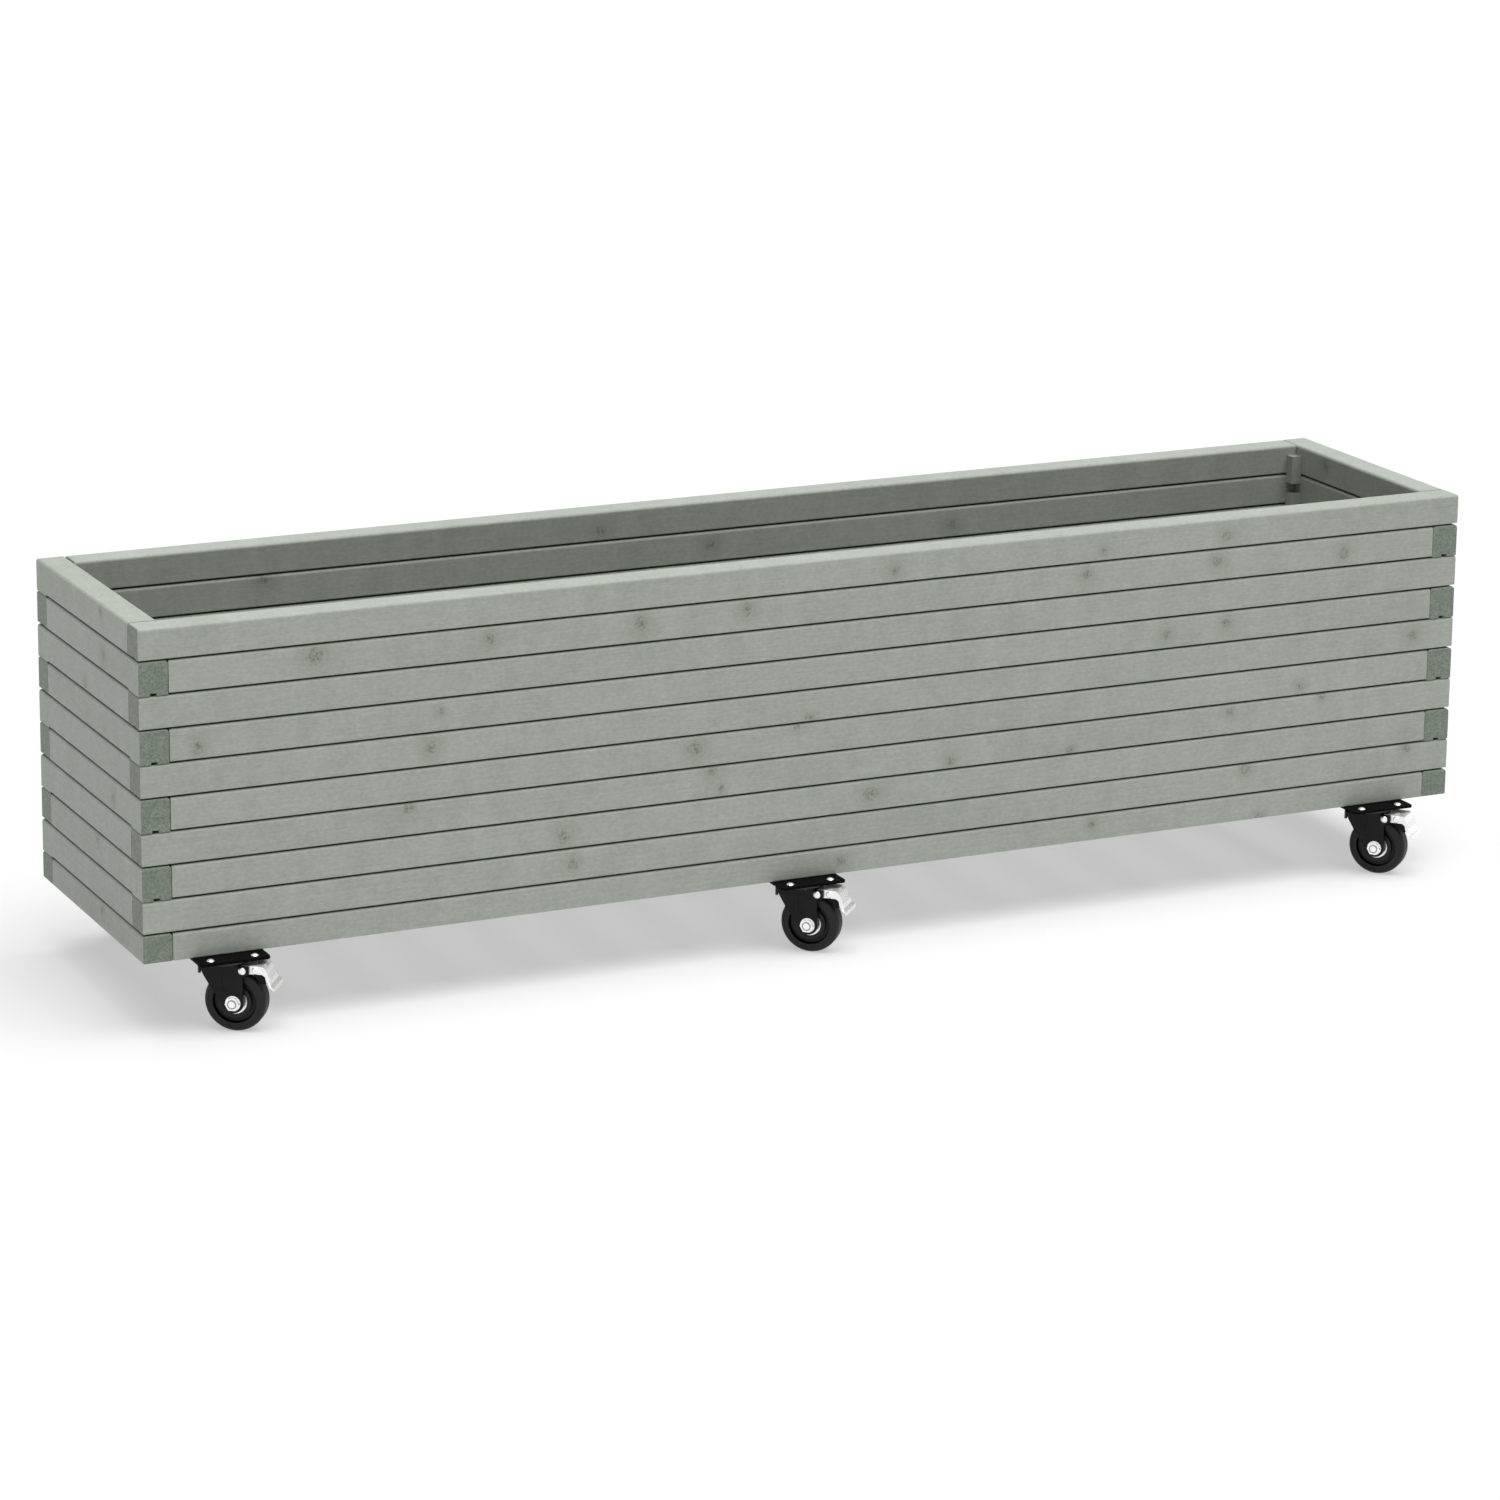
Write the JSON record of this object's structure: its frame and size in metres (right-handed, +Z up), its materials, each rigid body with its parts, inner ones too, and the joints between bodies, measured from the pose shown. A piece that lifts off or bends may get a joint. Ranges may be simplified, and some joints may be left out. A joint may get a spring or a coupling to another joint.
{
  "type": "rolling planter",
  "caption": "Long timber trough planter of interlocked painted rails on swivel casters with foot brakes, open at the top.",
  "frame": {"origin": "centre of the footprint, on the floor", "axes": "+X along the length of the trough, +Y towards its back, +Z up"},
  "size_m": [1.8, 0.4936, 0.497],
  "materials": {
    "painted_timber": "sage grey-green stained softwood, satin",
    "painted_timber_inside": "sage grey-green stained softwood, darker on the inside",
    "black_steel": "black satin powder coat",
    "bright_steel": "bright zinc plated",
    "zinc_fixings": "zinc plated",
    "zinc_lever": "zinc plated pressed sheet",
    "black_wheel": "matt black",
    "black_rubber": "matt black"
  },
  "bodies": {
    "planter": {"course_01": "painted_timber", "course_02": "painted_timber", "course_03": "painted_timber", "course_04": "painted_timber", "course_05": "painted_timber", "course_06": "painted_timber", "course_07": "painted_timber", "course_08": "painted_timber", "course_09": "painted_timber", "course_10": "painted_timber", "corner_blocks": "painted_timber_inside", "floor_cleats": "painted_timber_inside", "floor_slats": "painted_timber_inside", "slat_screws": "zinc_fixings", "caster_plates": "black_steel", "swivel_rings": "bright_steel", "kingpins": "zinc_fixings", "plate_screws": "zinc_fixings"},
    "front_left_swivel": {"front_left_fork": "black_steel", "front_left_axle_bolt": "bright_steel", "front_left_pivot_pin": "bright_steel"},
    "front_left_roller": {"front_left_wheel": "black_wheel", "front_left_bearing": "bright_steel"},
    "front_left_brake": {"front_left_brake_lever": "zinc_lever", "front_left_brake_shoe": "black_rubber"},
    "front_mid_swivel": {"front_mid_fork": "black_steel", "front_mid_axle_bolt": "bright_steel", "front_mid_pivot_pin": "bright_steel"},
    "front_mid_roller": {"front_mid_wheel": "black_wheel", "front_mid_bearing": "bright_steel"},
    "front_mid_brake": {"front_mid_brake_lever": "zinc_lever", "front_mid_brake_shoe": "black_rubber"},
    "front_right_swivel": {"front_right_fork": "black_steel", "front_right_axle_bolt": "bright_steel", "front_right_pivot_pin": "bright_steel"},
    "front_right_roller": {"front_right_wheel": "black_wheel", "front_right_bearing": "bright_steel"},
    "front_right_brake": {"front_right_brake_lever": "zinc_lever", "front_right_brake_shoe": "black_rubber"},
    "back_left_swivel": {"back_left_fork": "black_steel", "back_left_axle_bolt": "bright_steel", "back_left_pivot_pin": "bright_steel"},
    "back_left_roller": {"back_left_wheel": "black_wheel", "back_left_bearing": "bright_steel"},
    "back_left_brake": {"back_left_brake_lever": "zinc_lever", "back_left_brake_shoe": "black_rubber"},
    "back_mid_swivel": {"back_mid_fork": "black_steel", "back_mid_axle_bolt": "bright_steel", "back_mid_pivot_pin": "bright_steel"},
    "back_mid_roller": {"back_mid_wheel": "black_wheel", "back_mid_bearing": "bright_steel"},
    "back_mid_brake": {"back_mid_brake_lever": "zinc_lever", "back_mid_brake_shoe": "black_rubber"},
    "back_right_swivel": {"back_right_fork": "black_steel", "back_right_axle_bolt": "bright_steel", "back_right_pivot_pin": "bright_steel"},
    "back_right_roller": {"back_right_wheel": "black_wheel", "back_right_bearing": "bright_steel"},
    "back_right_brake": {"back_right_brake_lever": "zinc_lever", "back_right_brake_shoe": "black_rubber"}
  },
  "joints": [
    {"name": "front_left_swivel_turn", "type": "hinge", "parent": "planter", "child": "front_left_swivel", "pos_m": [-0.796, -0.186, 0.0876], "axis": [0, 0, 1], "continuous": true},
    {"name": "front_left_wheel_roll", "type": "hinge", "parent": "front_left_swivel", "child": "front_left_roller", "pos_m": [-0.78623, -0.19297, 0.0375], "axis": [0.5807, 0.8141, 0], "continuous": true},
    {"name": "front_left_brake_press", "type": "hinge", "parent": "front_left_swivel", "child": "front_left_brake", "pos_m": [-0.77728, -0.19936, 0.0774], "axis": [0.5807, 0.8141, 0], "range_deg": [0, 10]},
    {"name": "front_mid_swivel_turn", "type": "hinge", "parent": "planter", "child": "front_mid_swivel", "pos_m": [-0.04, -0.186, 0.0876], "axis": [0, 0, 1], "continuous": true},
    {"name": "front_mid_wheel_roll", "type": "hinge", "parent": "front_mid_swivel", "child": "front_mid_roller", "pos_m": [-0.03114, -0.19409, 0.0375], "axis": [0.6743, 0.7385, 0], "continuous": true},
    {"name": "front_mid_brake_press", "type": "hinge", "parent": "front_mid_swivel", "child": "front_mid_brake", "pos_m": [-0.02302, -0.20151, 0.0774], "axis": [0.6743, 0.7385, 0], "range_deg": [0, 10]},
    {"name": "front_right_swivel_turn", "type": "hinge", "parent": "planter", "child": "front_right_swivel", "pos_m": [0.7885, -0.186, 0.0876], "axis": [0, 0, 1], "continuous": true},
    {"name": "front_right_wheel_roll", "type": "hinge", "parent": "front_right_swivel", "child": "front_right_roller", "pos_m": [0.79637, -0.19506, 0.0375], "axis": [0.7547, 0.6561, 0], "continuous": true},
    {"name": "front_right_brake_press", "type": "hinge", "parent": "front_right_swivel", "child": "front_right_brake", "pos_m": [0.80359, -0.20336, 0.0774], "axis": [0.7547, 0.6561, 0], "range_deg": [0, 10]},
    {"name": "back_left_swivel_turn", "type": "hinge", "parent": "planter", "child": "back_left_swivel", "pos_m": [-0.796, 0.186, 0.0876], "axis": [0, 0, 1], "continuous": true},
    {"name": "back_left_wheel_roll", "type": "hinge", "parent": "back_left_swivel", "child": "back_left_roller", "pos_m": [-0.78623, 0.19297, 0.0375], "axis": [-0.5807, 0.8141, 0], "continuous": true},
    {"name": "back_left_brake_press", "type": "hinge", "parent": "back_left_swivel", "child": "back_left_brake", "pos_m": [-0.77728, 0.19936, 0.0774], "axis": [-0.5807, 0.8141, 0], "range_deg": [0, 10]},
    {"name": "back_mid_swivel_turn", "type": "hinge", "parent": "planter", "child": "back_mid_swivel", "pos_m": [-0.04, 0.186, 0.0876], "axis": [0, 0, 1], "continuous": true},
    {"name": "back_mid_wheel_roll", "type": "hinge", "parent": "back_mid_swivel", "child": "back_mid_roller", "pos_m": [-0.03114, 0.19409, 0.0375], "axis": [-0.6743, 0.7385, 0], "continuous": true},
    {"name": "back_mid_brake_press", "type": "hinge", "parent": "back_mid_swivel", "child": "back_mid_brake", "pos_m": [-0.02302, 0.20151, 0.0774], "axis": [-0.6743, 0.7385, 0], "range_deg": [0, 10]},
    {"name": "back_right_swivel_turn", "type": "hinge", "parent": "planter", "child": "back_right_swivel", "pos_m": [0.7885, 0.186, 0.0876], "axis": [0, 0, 1], "continuous": true},
    {"name": "back_right_wheel_roll", "type": "hinge", "parent": "back_right_swivel", "child": "back_right_roller", "pos_m": [0.79637, 0.19506, 0.0375], "axis": [-0.7547, 0.6561, 0], "continuous": true},
    {"name": "back_right_brake_press", "type": "hinge", "parent": "back_right_swivel", "child": "back_right_brake", "pos_m": [0.80359, 0.20336, 0.0774], "axis": [-0.7547, 0.6561, 0], "range_deg": [0, 10]}
  ]
}
